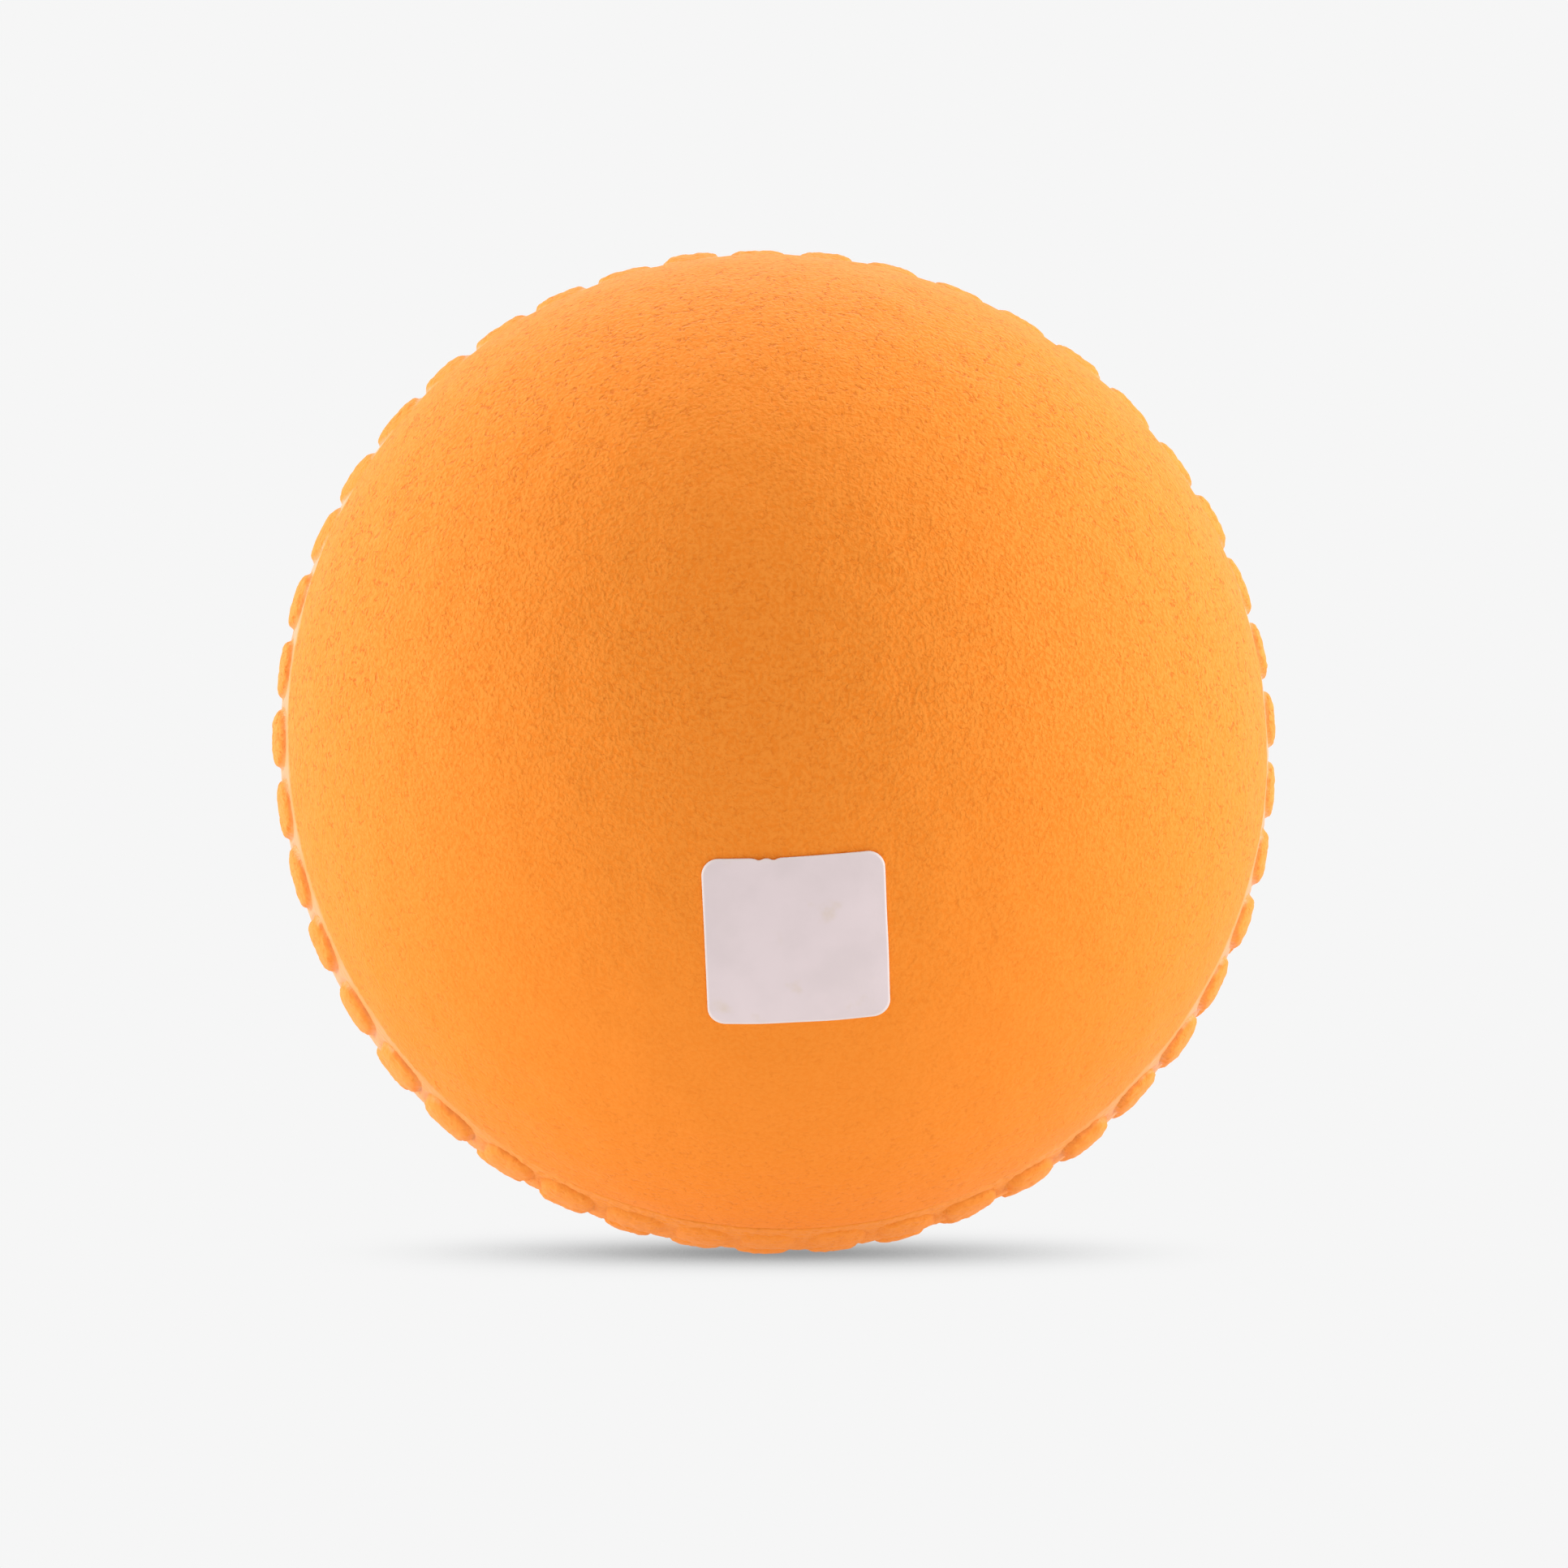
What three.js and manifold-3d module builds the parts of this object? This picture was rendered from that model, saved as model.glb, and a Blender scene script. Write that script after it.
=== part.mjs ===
// Foam cricket ball: a soft foam core under two napped half covers, with a smooth moulded seam band
// bedded round the middle between the covers' rims. The band carries two rows of raised stitch pads,
// and the front cover carries a small blank label.
// Millimetres, +Z up, origin at the ball's centre. The front face looks towards -Y, leaning up,
// because the ball rests on its rear row of stitches.

import * as THREE from 'three';
import { mergeVertices } from 'three/addons/utils/BufferGeometryUtils.js';
import Module from 'manifold-3d';

const wasm = await Module();
wasm.setup();

const degrees = THREE.MathUtils.degToRad;

// Ball and covers
const BALL_RADIUS = 35.8; // outside of the covers, 225 mm round
const COVER_THICKNESS = 4; // foam sheet that a cover is pressed from
const COVER_RIM_RADIUS = 0.8; // rounded edge where a cover meets the band
const GLUE_LINE = 0.3; // clearance between pieces that are stuck together

// Seam band
const BAND_WIDTH = 14.8; // from one cover's rim to the other's
const BAND_RECESS = 0.15; // how far the band's valley lies under the covers
const CHANNEL_DEPTH = 2.5; // channel round the core that the band is bedded in

// Stitch pads on the band
const STITCH_COUNT = 45; // in each row
const STITCH_LENGTH = 3.9; // along the seam
const STITCH_WIDTH = 4.6; // across the seam
const STITCH_HEIGHT = 0.6; // above the valley
const STITCH_CORNER = 0.5; // corner radius of a pad's flat top
const STITCH_BEVEL = 0.5; // softened upper edge
const STITCH_ROOT = 0.5; // how far a pad is rooted in the band
const STITCH_ROW_OFFSET = 3.2; // middle of a row from the parting line
const STITCH_ROW_MARGIN = 0.2; // narrow flat of the valley beside a row
const REAR_ROW_LAG = degrees(0.8); // the rear row trails the front row by this angle

// Label
const LABEL_WIDTH = 12.5;
const LABEL_HEIGHT = 12.3;
const LABEL_CORNER = 1.2;
const LABEL_THICKNESS = 0.2;
const LABEL_DROP = degrees(28.9); // below the middle of the front cover
const LABEL_SIDE = degrees(0.4); // to the right of it
const LABEL_ROLL = degrees(3.8); // anticlockwise, seen from the front

// Resting pose
const LEAN_BACK = degrees(10.5); // the front face looks up by this angle
const TURN_RIGHT = degrees(2.3); // and to the right by this one

// Facets
const AROUND_COVER = 48;
const AROUND_CORE = 36;
const AROUND_LABEL = 24;
const COVER_STEPS = 9; // from the pole to the rim
const RIM_STEPS = 3;
const LABEL_STEPS = 4;
const CORNER_STEPS = 1; // gives two facets to a corner

// Radii and places that follow from the sizes above
const coreRadius = BALL_RADIUS - COVER_THICKNESS - GLUE_LINE;
const channelRadius = coreRadius - CHANNEL_DEPTH;
const valleyRadius = BALL_RADIUS - BAND_RECESS;
const bandHalf = BAND_WIDTH / 2;
const rimHalf = bandHalf + GLUE_LINE;

const coverFoam = new THREE.MeshStandardMaterial({ color: 0xf8943c, roughness: 0.95, metalness: 0 });
const bandFoam = new THREE.MeshStandardMaterial({ color: 0xfca35c, roughness: 0.55, metalness: 0 });
const coreFoam = new THREE.MeshStandardMaterial({ color: 0xf0b078, roughness: 0.9, metalness: 0 });
const labelFilm = new THREE.MeshStandardMaterial({ color: 0xe2d4d3, roughness: 0.5, metalness: 0 });

/** Points of an arc about (x, y), from one angle to another, both ends included. */
function arc(x, y, radius, from, to, steps) {
  const curve = new THREE.EllipseCurve(x, y, radius, radius, from, to, to < from);
  return curve.getPoints(steps);
}

/** Closed outline of a rectangle with round corners, centred on the origin. */
function roundedRectangle(width, height, corner) {
  const x = width / 2 - corner;
  const y = height / 2 - corner;
  const quarter = Math.PI / 2;
  const outline = new THREE.Shape();
  outline.absarc(x, y, corner, 0, quarter);
  outline.absarc(-x, y, corner, quarter, 2 * quarter);
  outline.absarc(-x, -y, corner, 2 * quarter, 3 * quarter);
  outline.absarc(x, -y, corner, 3 * quarter, 4 * quarter);
  outline.closePath();
  return outline;
}

/** A closed geometry as a solid that can be joined and cut. */
function toSolid(geometry) {
  geometry.deleteAttribute('normal');
  geometry.deleteAttribute('uv');
  const welded = mergeVertices(geometry);
  const triVerts = [];
  for (let i = 0; i < welded.index.count; i += 3) {
    const [a, b, c] = welded.index.array.slice(i, i + 3);
    if (a !== b && b !== c && c !== a) triVerts.push(a, b, c);
  }
  return new wasm.Manifold(new wasm.Mesh({
    numProp: 3,
    vertProperties: welded.attributes.position.array,
    triVerts: Uint32Array.from(triVerts),
  }));
}

/** A joined or cut solid as a geometry again. */
function toGeometry(solid) {
  const { vertProperties, triVerts } = solid.getMesh();
  const geometry = new THREE.BufferGeometry();
  geometry.setAttribute('position', new THREE.BufferAttribute(vertProperties, 3));
  geometry.setIndex(new THREE.BufferAttribute(triVerts, 1));
  geometry.computeVertexNormals();
  return geometry;
}

function piece(name, geometry, material) {
  const mesh = new THREE.Mesh(geometry, material);
  mesh.name = name;
  return mesh;
}

/** Core: a ball with a square-sided channel round its middle, turned about the seam axis. */
function coreGeometry() {
  const edge = Math.asin(rimHalf / coreRadius);
  const profile = [
    ...arc(0, 0, coreRadius, -Math.PI / 2, -edge, COVER_STEPS),
    new THREE.Vector2(channelRadius, -rimHalf),
    new THREE.Vector2(channelRadius, rimHalf),
    ...arc(0, 0, coreRadius, edge, Math.PI / 2, COVER_STEPS),
  ];
  return new THREE.LatheGeometry(profile, AROUND_CORE);
}

/** Half cover: a spherical shell cut off flat beside the band, with a rounded outer rim. */
function coverGeometry() {
  const innerRadius = BALL_RADIUS - COVER_THICKNESS;
  const roundY = rimHalf + COVER_RIM_RADIUS;
  const roundX = Math.sqrt((BALL_RADIUS - COVER_RIM_RADIUS) ** 2 - roundY ** 2);
  const tangent = -Math.atan2(roundY, roundX);
  const innerEdge = -Math.asin(rimHalf / innerRadius);
  const profile = [
    ...arc(0, 0, BALL_RADIUS, -Math.PI / 2, tangent, COVER_STEPS),
    ...arc(roundX, -roundY, COVER_RIM_RADIUS, tangent, Math.PI / 2, RIM_STEPS).slice(1),
    ...arc(0, 0, innerRadius, innerEdge, -Math.PI / 2, COVER_STEPS),
  ];
  return new THREE.LatheGeometry(profile, AROUND_COVER);
}

/** One stitch pad: a pillow with round corners and a softened upper edge, standing along +Z. */
function stitchGeometry() {
  const outline = roundedRectangle(
    STITCH_LENGTH - 2 * STITCH_BEVEL,
    STITCH_WIDTH - 2 * STITCH_BEVEL,
    STITCH_CORNER,
  );
  const stitch = new THREE.ExtrudeGeometry(outline, {
    depth: STITCH_HEIGHT + STITCH_ROOT - STITCH_BEVEL,
    bevelThickness: STITCH_BEVEL,
    bevelSize: STITCH_BEVEL,
    bevelSegments: 1,
    curveSegments: CORNER_STEPS,
  });
  return stitch.translate(0, 0, -STITCH_ROOT);
}

/** Place of a stitch: square to the ball, its length along the seam, a row's offset off the parting line. */
function stitchPlace(angle, offset) {
  const tilt = Math.asin(offset / valleyRadius);
  return new THREE.Matrix4()
    .makeRotationY(-angle)
    .multiply(new THREE.Matrix4().makeRotationZ(tilt))
    .multiply(new THREE.Matrix4().makeTranslation(valleyRadius, 0, 0))
    .multiply(new THREE.Matrix4().makeRotationY(Math.PI / 2));
}

/** Seam band: a ring with a round outside, joined to its two rows of stitch pads. */
function bandGeometry() {
  const rowInner = STITCH_ROW_OFFSET - STITCH_WIDTH / 2 - STITCH_ROW_MARGIN;
  const rowOuter = STITCH_ROW_OFFSET + STITCH_WIDTH / 2 + STITCH_ROW_MARGIN;
  const valley = [-bandHalf, -rowOuter, -rowInner, rowInner, rowOuter, bandHalf];
  const innerRadius = channelRadius + GLUE_LINE;
  const start = new THREE.Vector2(innerRadius, -bandHalf);
  const profile = [
    start,
    ...valley.map((y) => new THREE.Vector2(Math.sqrt(valleyRadius ** 2 - y ** 2), y)),
    new THREE.Vector2(innerRadius, bandHalf),
    start,
  ];
  // One facet to a stitch, with its edges in the gaps between the stitches.
  let band = toSolid(new THREE.LatheGeometry(profile, STITCH_COUNT, Math.PI / 2));
  const stitch = stitchGeometry();
  const pitch = (2 * Math.PI) / STITCH_COUNT;
  const rows = [
    { offset: -STITCH_ROW_OFFSET, shift: REAR_ROW_LAG / 2 },
    { offset: STITCH_ROW_OFFSET, shift: -REAR_ROW_LAG / 2 },
  ];
  for (const { offset, shift } of rows) {
    for (let k = 0; k < STITCH_COUNT; k += 1) {
      const place = stitchPlace((k + 0.5) * pitch + shift, offset);
      band = band.add(toSolid(stitch.clone().applyMatrix4(place)));
    }
  }
  return toGeometry(band);
}

/** Label: a thin spherical dish cut to a square with round corners, facing -Y. */
function labelGeometry() {
  const inner = BALL_RADIUS + GLUE_LINE;
  const outer = inner + LABEL_THICKNESS;
  const reach = -Math.acos(Math.hypot(LABEL_WIDTH, LABEL_HEIGHT) / 2 / inner);
  const dish = toSolid(new THREE.LatheGeometry([
    ...arc(0, 0, outer, -Math.PI / 2, reach, LABEL_STEPS),
    ...arc(0, 0, inner, reach, -Math.PI / 2, LABEL_STEPS),
  ], AROUND_LABEL));
  const cutter = new THREE.ExtrudeGeometry(roundedRectangle(LABEL_WIDTH, LABEL_HEIGHT, LABEL_CORNER), {
    depth: 2 * BALL_RADIUS,
    bevelEnabled: false,
    curveSegments: CORNER_STEPS,
  });
  return toGeometry(dish.intersect(toSolid(cutter.rotateX(Math.PI / 2))));
}

const frontCover = piece('front_cover', coverGeometry(), coverFoam);
const backCover = piece('back_cover', coverGeometry(), coverFoam);
backCover.rotation.x = Math.PI;

const label = piece('label', labelGeometry(), labelFilm);
label.rotation.set(LABEL_DROP, -LABEL_ROLL, LABEL_SIDE, 'ZXY');

const ball = new THREE.Group();
ball.rotation.set(-LEAN_BACK, 0, TURN_RIGHT, 'ZYX');
ball.add(piece('foam_core', coreGeometry(), coreFoam));
ball.add(frontCover);
ball.add(backCover);
ball.add(piece('seam_band', bandGeometry(), bandFoam));
ball.add(label);

export default ball;
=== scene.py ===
"""Foam cricket ball: a soft foam core, two napped half covers, a moulded seam band with two rows of
stitch pads, and a small blank label. Metres, +Z up, the labelled face towards -Y and leaning up."""

import bpy
import numpy as np
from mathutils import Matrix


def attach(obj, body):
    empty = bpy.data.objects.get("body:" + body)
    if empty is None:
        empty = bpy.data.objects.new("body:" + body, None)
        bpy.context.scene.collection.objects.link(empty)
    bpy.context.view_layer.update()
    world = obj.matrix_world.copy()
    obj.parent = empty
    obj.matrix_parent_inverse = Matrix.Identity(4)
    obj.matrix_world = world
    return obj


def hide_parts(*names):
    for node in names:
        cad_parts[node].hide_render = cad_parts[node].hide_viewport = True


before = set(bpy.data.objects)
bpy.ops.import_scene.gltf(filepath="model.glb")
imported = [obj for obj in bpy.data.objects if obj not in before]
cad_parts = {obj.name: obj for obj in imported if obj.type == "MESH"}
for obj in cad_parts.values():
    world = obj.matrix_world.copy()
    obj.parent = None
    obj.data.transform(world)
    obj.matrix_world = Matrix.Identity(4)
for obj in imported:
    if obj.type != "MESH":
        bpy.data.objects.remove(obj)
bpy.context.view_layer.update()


# Foam core
# The round inner ball of soft open-cell foam. A square channel turned round its middle takes the seam
# band, and both covers are stuck over the rest of it, so it is out of sight in the finished ball.

MM = 0.001
CORE_RADIUS = 31.5 * MM
CHANNEL_RADIUS = 29 * MM
CHANNEL_HALF = 7.7 * MM  # half the channel's width
CORE_STATIONS = 180  # round the seam axis
CORE_ROWS = 48  # from a pole to the channel
CORE_CELL = 2.2 * MM
CORE_PITTING = 0.1 * MM
CORE_WALL = (0.15, 0.6)  # distances from a cell's middle, in cells, where its wall begins and is full
CORE_COLOUR = (0.85, 0.42, 0.16, 1)
# painted shade in the cells' pits
CORE_PIT_SHADE_COLOUR = (0.62, 0.25, 0.07, 1)
CORE_FINISH = {"Roughness": 0.95}
LEAN_BACK = np.radians(10.5)
TURN_RIGHT = np.radians(2.3)
# For each bulge: how often it comes round the ball, its share of the radius, and its crest in degrees.
BULGES = ((2, 0.0056, 120.8), (3, 0.0014, -1.4), (4, 0.00168, 48.8), (6, 0.00095, 48.6))
WAVES = 32
WAVE_SPREAD = (0.7, 1.4)  # least and most waves to one wavelength


def carry_round(distance, height, angle):
    """Ball-frame points of a profile carried round the seam axis: each profile point's distance from the
    axis is turned through every angle, and its height lies along Y. The front pole is at -Y."""
    distance, height, angle = np.broadcast_arrays(distance, height, angle)
    return np.stack([distance * np.cos(angle), height, distance * np.sin(angle)], axis=-1)


def turned(points, axis, angle):
    """Points turned about the X, Y or Z axis, numbered 0 to 2, by the right-hand rule."""
    first, second = (axis + 1) % 3, (axis + 2) % 3
    result = points.copy()
    result[..., first] = points[..., first] * np.cos(angle) - points[..., second] * np.sin(angle)
    result[..., second] = points[..., first] * np.sin(angle) + points[..., second] * np.cos(angle)
    return result


def from_centre(points):
    """Distance of each point from the ball's centre, of at least 1 mm."""
    return np.maximum(np.linalg.norm(points, axis=-1), MM)


def stand(points):
    """Ball-frame points as the ball stands. A soft ball is not quite round: for each bulge, points move
    out or in by its share times the cosine of its count times their angle from its crest, fading towards
    the poles. Then the ball leans back about X and turns about Z."""
    across = np.hypot(points[..., 0], points[..., 2])
    angle = np.arctan2(points[..., 2], points[..., 0])
    bulge = sum(share * np.cos(count * (angle - np.radians(crest))) for count, share, crest in BULGES)
    growth = 1 + bulge * (across / from_centre(points)) ** 2
    return turned(turned(points * growth[..., None], 0, -LEAN_BACK), 2, TURN_RIGHT)


def ripple(points, wavelength, seed):
    """Smooth random relief of about -1 to 1: plane waves of about one wavelength, each with its own
    heading and phase, added up."""
    chance = np.random.default_rng(seed)
    heading = chance.normal(size=(WAVES, 3))
    heading *= (chance.uniform(*WAVE_SPREAD, WAVES) / np.linalg.norm(heading, axis=1))[:, None]
    phase = chance.uniform(0, 2 * np.pi, WAVES)
    crowd = np.cos(points @ heading.T * (2 * np.pi / wavelength) + phase)
    return crowd.sum(axis=-1) / np.sqrt(WAVES)


def raise_by(points, height):
    """Points moved away from the ball's centre by a height each."""
    return points * (1 + height / from_centre(points))[..., None]


def ring_faces(rows, stations, closed=False):
    """Quads between neighbouring rings of points, numbered ring by ring; closed joins the last ring to
    the first."""
    row = np.arange(rows if closed else rows - 1)[:, None]
    column = np.arange(stations)[None, :]
    here = row * stations
    above = (row + 1) % rows * stations
    beside = (column + 1) % stations
    quads = np.stack([here + column, above + column, above + beside, here + beside], axis=-1)
    return quads.reshape(-1, 4)


def fan_faces(first, stations, centre):
    """Triangles that close a ring of points onto one centre point."""
    here = first + np.arange(stations)
    beside = first + (np.arange(stations) + 1) % stations
    return np.stack([here, np.full(stations, centre), beside], axis=-1)


def add_piece(name, points, faces, material):
    """A smooth shaded mesh object at the origin, from points in metres and lists of faces."""
    mesh = bpy.data.meshes.new(name)
    mesh.from_pydata(points.tolist(), [], [face for group in faces for face in group.tolist()])
    mesh.polygons.foreach_set("use_smooth", np.ones(len(mesh.polygons), dtype=bool))
    mesh.materials.append(material)
    mesh.update()
    piece = bpy.data.objects.new(name, mesh)
    bpy.context.scene.collection.objects.link(piece)
    return piece


def put(tree, kind, inputs=None, **settings):
    """A shader node with its settings, and each named input set to a value or joined to a socket."""
    made = tree.nodes.new(kind)
    for name, value in settings.items():
        setattr(made, name, value)
    for name, value in (inputs or {}).items():
        if isinstance(value, bpy.types.NodeSocket):
            tree.links.new(value, made.inputs[name])
        else:
            made.inputs[name].default_value = value
    return made


def mix_colours(tree, factor, first, second):
    """A colour between two others, from a factor of 0 to 1. The Mix node keeps its colour sockets at
    places 6 and 7, and its colour result at place 2."""
    mixed = put(tree, "ShaderNodeMix", {0: factor, 6: first, 7: second}, data_type="RGBA")
    return mixed.outputs[2]


def remap(tree, value, low, high):
    """A value stretched so that low becomes 0 and high becomes 1, with soft ends."""
    inputs = {"Value": value, "From Min": low, "From Max": high}
    return put(tree, "ShaderNodeMapRange", inputs, interpolation_type="SMOOTHSTEP").outputs["Result"]


def empty_tree(owner):
    """The node tree of a material or world, with nothing in it."""
    owner.use_nodes = True
    owner.node_tree.nodes.clear()
    return owner.node_tree


def new_material(name, finish):
    """A material with only its shader and output, joined, and the shader's constant inputs set by name;
    returns the material, its tree and its shader."""
    material = bpy.data.materials.new(name)
    tree = empty_tree(material)
    shader = put(tree, "ShaderNodeBsdfPrincipled", finish)
    put(tree, "ShaderNodeOutputMaterial", {"Surface": shader.outputs["BSDF"]})
    return material, tree, shader


def dress(tree, shader, colour, height, relief):
    """Joins a colour to a shader, and a height of about 0 to 1 as a bump of that relief."""
    bump = put(tree, "ShaderNodeBump", {"Height": height, "Distance": relief})
    tree.links.new(colour, shader.inputs["Base Color"])
    tree.links.new(bump.outputs["Normal"], shader.inputs["Normal"])


def core_material():
    """Open-cell foam: pale walls round darker cells, whose dark is painted shade in their pits, from the
    distance to the nearest cell centre.
    """
    material, tree, shader = new_material("core_foam", CORE_FINISH)
    place = put(tree, "ShaderNodeTexCoord").outputs["Object"]
    cells = put(tree, "ShaderNodeTexVoronoi", {"Vector": place, "Scale": 1 / CORE_CELL})
    wall = remap(tree, cells.outputs["Distance"], *CORE_WALL)
    # the cells' darker colour is painted shade in their pits
    dress(tree, shader, mix_colours(tree, wall, CORE_PIT_SHADE_COLOUR, CORE_COLOUR), wall, CORE_PITTING)
    return material


def core_profile():
    """Distance from the seam axis and height along it, from the front pole to the back one: a circle
    that steps in to the channel where it comes within the channel's half width."""
    edge = np.arcsin(CHANNEL_HALF / CORE_RADIUS)
    rise = np.linspace(-np.pi / 2, -edge, CORE_ROWS)[1:]
    distance = CORE_RADIUS * np.cos(rise)
    height = CORE_RADIUS * np.sin(rise)
    return (
        np.concatenate([distance, [CHANNEL_RADIUS, CHANNEL_RADIUS], distance[::-1]]),
        np.concatenate([height, [-CHANNEL_HALF, CHANNEL_HALF], -height[::-1]]),
    )


core_distance, core_height = core_profile()
core_angle = np.linspace(0, 2 * np.pi, CORE_STATIONS, endpoint=False)
core_rings = carry_round(core_distance[:, None], core_height[:, None], core_angle[None, :])
core_poles = np.array([[0, -CORE_RADIUS, 0], [0, CORE_RADIUS, 0]])
core_points = np.concatenate([core_rings.reshape(-1, 3), core_poles])
core_points = stand(raise_by(core_points, CORE_PITTING / 2 * ripple(core_points, CORE_CELL, seed=1)))
core_rows = len(core_distance)
core_front = core_rows * CORE_STATIONS
core_faces = [
    ring_faces(core_rows, CORE_STATIONS),
    fan_faces(0, CORE_STATIONS, core_front)[:, ::-1],
    fan_faces((core_rows - 1) * CORE_STATIONS, CORE_STATIONS, core_front + 1),
]
core = add_piece("core_ball", core_points, core_faces, core_material())
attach(core, "root")
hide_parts("foam_core")


# Half covers
# Two equal caps pressed from foam sheet, 4 mm thick, and buffed to a short nap like suede. They are
# stuck over the core, and their rims, barely rounded, close against the seam band.

BALL_RADIUS = 35.85 * MM
COVER_THICKNESS = 4 * MM
COVER_RIM_AT = 7.3 * MM  # from the seam's middle plane
COVER_RIM_RADIUS = 0.12 * MM
COVER_CELLS = 260  # of the grid across the dome
RIM_ROWS = 8
LINING_ROWS = 5
RELIEF_BETWEEN = (-1.5 * MM, -0.5 * MM)  # heights over the surface where relief begins and is full
NAP_LUMP = 5 * MM
NAP_LUMP_HEIGHT = 0.035 * MM
NAP_GRAIN = 1.1 * MM
NAP_GRAIN_HEIGHT = 0.012 * MM
NAP_RELIEF = 0.04 * MM
NAP_FIBRE = 0.3 * MM
NAP_TIPS = (0.3, 0.7)  # noise at which a fibre tip begins and is full
NAP_MOTTLE = 6 * MM
NAP_MOTTLE_SHARE = 0.25
NAP_STRAND = 0.8 * MM
NAP_CURL = 0.8
NAP_BREAK = 0.7 * MM
NOISE_MIDDLE = 0.5
STROKE_WIDTH = 0.07  # noise to either side of a stroke's middle line
STROKE_RUN = (0.45, 0.57)  # noise at which a stroke begins and is full
WORN_BETWEEN = (22 * MM, 34 * MM)  # distances from the Y axis where strokes grow from worn to full
WORN_STRENGTH = 0.35
NAP_THIN_BETWEEN = (-18 * MM, 4 * MM)  # heights where the nap grows from thin to full
NAP_THIN_SHARE = 0.42
NAP_THIN_TIPS = 0.5  # share of the tip colour where the nap is thin
NAP_COLOUR = (0.93, 0.237, 0.013, 1)
NAP_TORN_COLOUR = (0.64, 0.14, 0.007, 1)
NAP_TIP_COLOUR = (0.98, 0.298, 0.031, 1)
NAP_FINISH = {
    "Roughness": 0.75,
    "Specular IOR Level": 0.16,
    "Sheen Weight": 0.08,
    "Sheen Roughness": 0.35,
    "Sheen Tint": (1, 0.98, 0.96, 1),
}


def ramp(value, start, end):
    """0 before the start, 1 past the end, and a straight rise between them."""
    return np.clip((value - start) / (end - start), 0, 1)


def disc_grid(cells):
    """Polar coordinates of a square grid bent onto a disc, so that each square ring of grid points turns
    into a circle: the ring's share of the way out, and the angle."""
    side = np.linspace(-1, 1, cells + 1)
    first, second = np.meshgrid(side, side, indexing="ij")
    wide = np.abs(first) > np.abs(second)
    reach = np.where(wide, first, second)
    slope = np.where(wide, second, first) / np.where(reach == 0, 1, reach)
    angle = np.where(wide, np.pi / 4 * slope, np.pi / 2 - np.pi / 4 * slope)
    return np.abs(reach), angle + np.pi * (reach < 0)


def disc_faces(cells):
    """Quads of the square grid behind a disc, and the numbers of its edge points in order."""
    number = np.arange((cells + 1) ** 2).reshape(cells + 1, cells + 1)
    quads = np.stack([number[:-1, :-1], number[1:, :-1], number[1:, 1:], number[:-1, 1:]], axis=-1)
    edge = np.concatenate([number[:-1, 0], number[-1, :-1], number[:0:-1, -1], number[0, :0:-1]])
    return quads.reshape(-1, 4), edge


def cover_skirt():
    """How far the dome reaches from its pole, as an angle, and the profile behind its edge: round the
    rim on a small arc, down the flat side that faces the band, and back along the lining's circle."""
    round_height = COVER_RIM_AT + COVER_RIM_RADIUS
    round_distance = np.sqrt((BALL_RADIUS - COVER_RIM_RADIUS) ** 2 - round_height**2)
    start = np.arctan2(round_height, round_distance)
    turn = np.linspace(-start, np.pi / 2, RIM_ROWS + 1)[1:]
    lining = BALL_RADIUS - COVER_THICKNESS
    rise = np.linspace(np.arcsin(COVER_RIM_AT / lining), np.pi / 2, LINING_ROWS + 1)[:-1]
    distance = np.concatenate([round_distance + COVER_RIM_RADIUS * np.cos(turn), lining * np.cos(rise)])
    height = np.concatenate([COVER_RIM_RADIUS * np.sin(turn) - round_height, -lining * np.sin(rise)])
    return np.pi / 2 - start, distance, height


def cover_mesh():
    """Front cover in the ball frame, as a closed shell: a dome from the disc grid, and the skirt's
    profile carried on from the dome's edge round to the lining's pole."""
    reach, distance, height = cover_skirt()
    share, angle = disc_grid(COVER_CELLS)
    quads, edge = disc_faces(COVER_CELLS)
    dome = carry_round(BALL_RADIUS * np.sin(share * reach), -BALL_RADIUS * np.cos(share * reach), angle)
    skirt = carry_round(distance[:, None], height[:, None], angle.reshape(-1)[edge][None, :])
    pole = np.array([[0, COVER_THICKNESS - BALL_RADIUS, 0]])
    points = np.concatenate([dome.reshape(-1, 3), skirt.reshape(-1, 3), pole])
    stations = len(edge)
    rings = np.concatenate([edge, np.arange(angle.size, len(points) - 1)])
    faces = [
        quads,
        rings[ring_faces(len(distance) + 1, stations)],
        fan_faces(len(points) - 1 - stations, stations, len(points) - 1),
    ]
    return points, faces


def lump_relief(points):
    """Height of the foam's low lumps."""
    return NAP_LUMP_HEIGHT * ripple(points, NAP_LUMP, seed=2)


def nap_relief(points):
    """Height of the buffed surface: low lumps of the foam under a finer grain."""
    return lump_relief(points) + NAP_GRAIN_HEIGHT * ripple(points, NAP_GRAIN, seed=3)


def combine(tree, operation, *values):
    """The result of a Math node on one to three values or sockets."""
    return put(tree, "ShaderNodeMath", dict(enumerate(values)), operation=operation).outputs[0]


def scaled(tree, value, between, results):
    """A value carried straight from one range to another, and held at both ends."""
    ends = {"From Min": between[0], "From Max": between[1], "To Min": results[0], "To Max": results[1]}
    return put(tree, "ShaderNodeMapRange", {"Value": value, **ends}).outputs["Result"]


def noise(tree, place, size, detail, curl=0):
    """Noise of 0 to 1 in lumps of about one size, with finer detail and a curl."""
    inputs = {"Vector": place, "Scale": 1 / size, "Detail": detail, "Distortion": curl}
    return put(tree, "ShaderNodeTexNoise", inputs).outputs["Fac"]


def stroke_mask(tree, line, run):
    """Short strokes, which lie where the first noise passes its middle value, as far as the second one
    is high."""
    off_line = combine(tree, "ABSOLUTE", combine(tree, "SUBTRACT", line, NOISE_MIDDLE))
    return combine(tree, "MULTIPLY", remap(tree, off_line, STROKE_WIDTH, 0), remap(tree, run, *STROKE_RUN))


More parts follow.
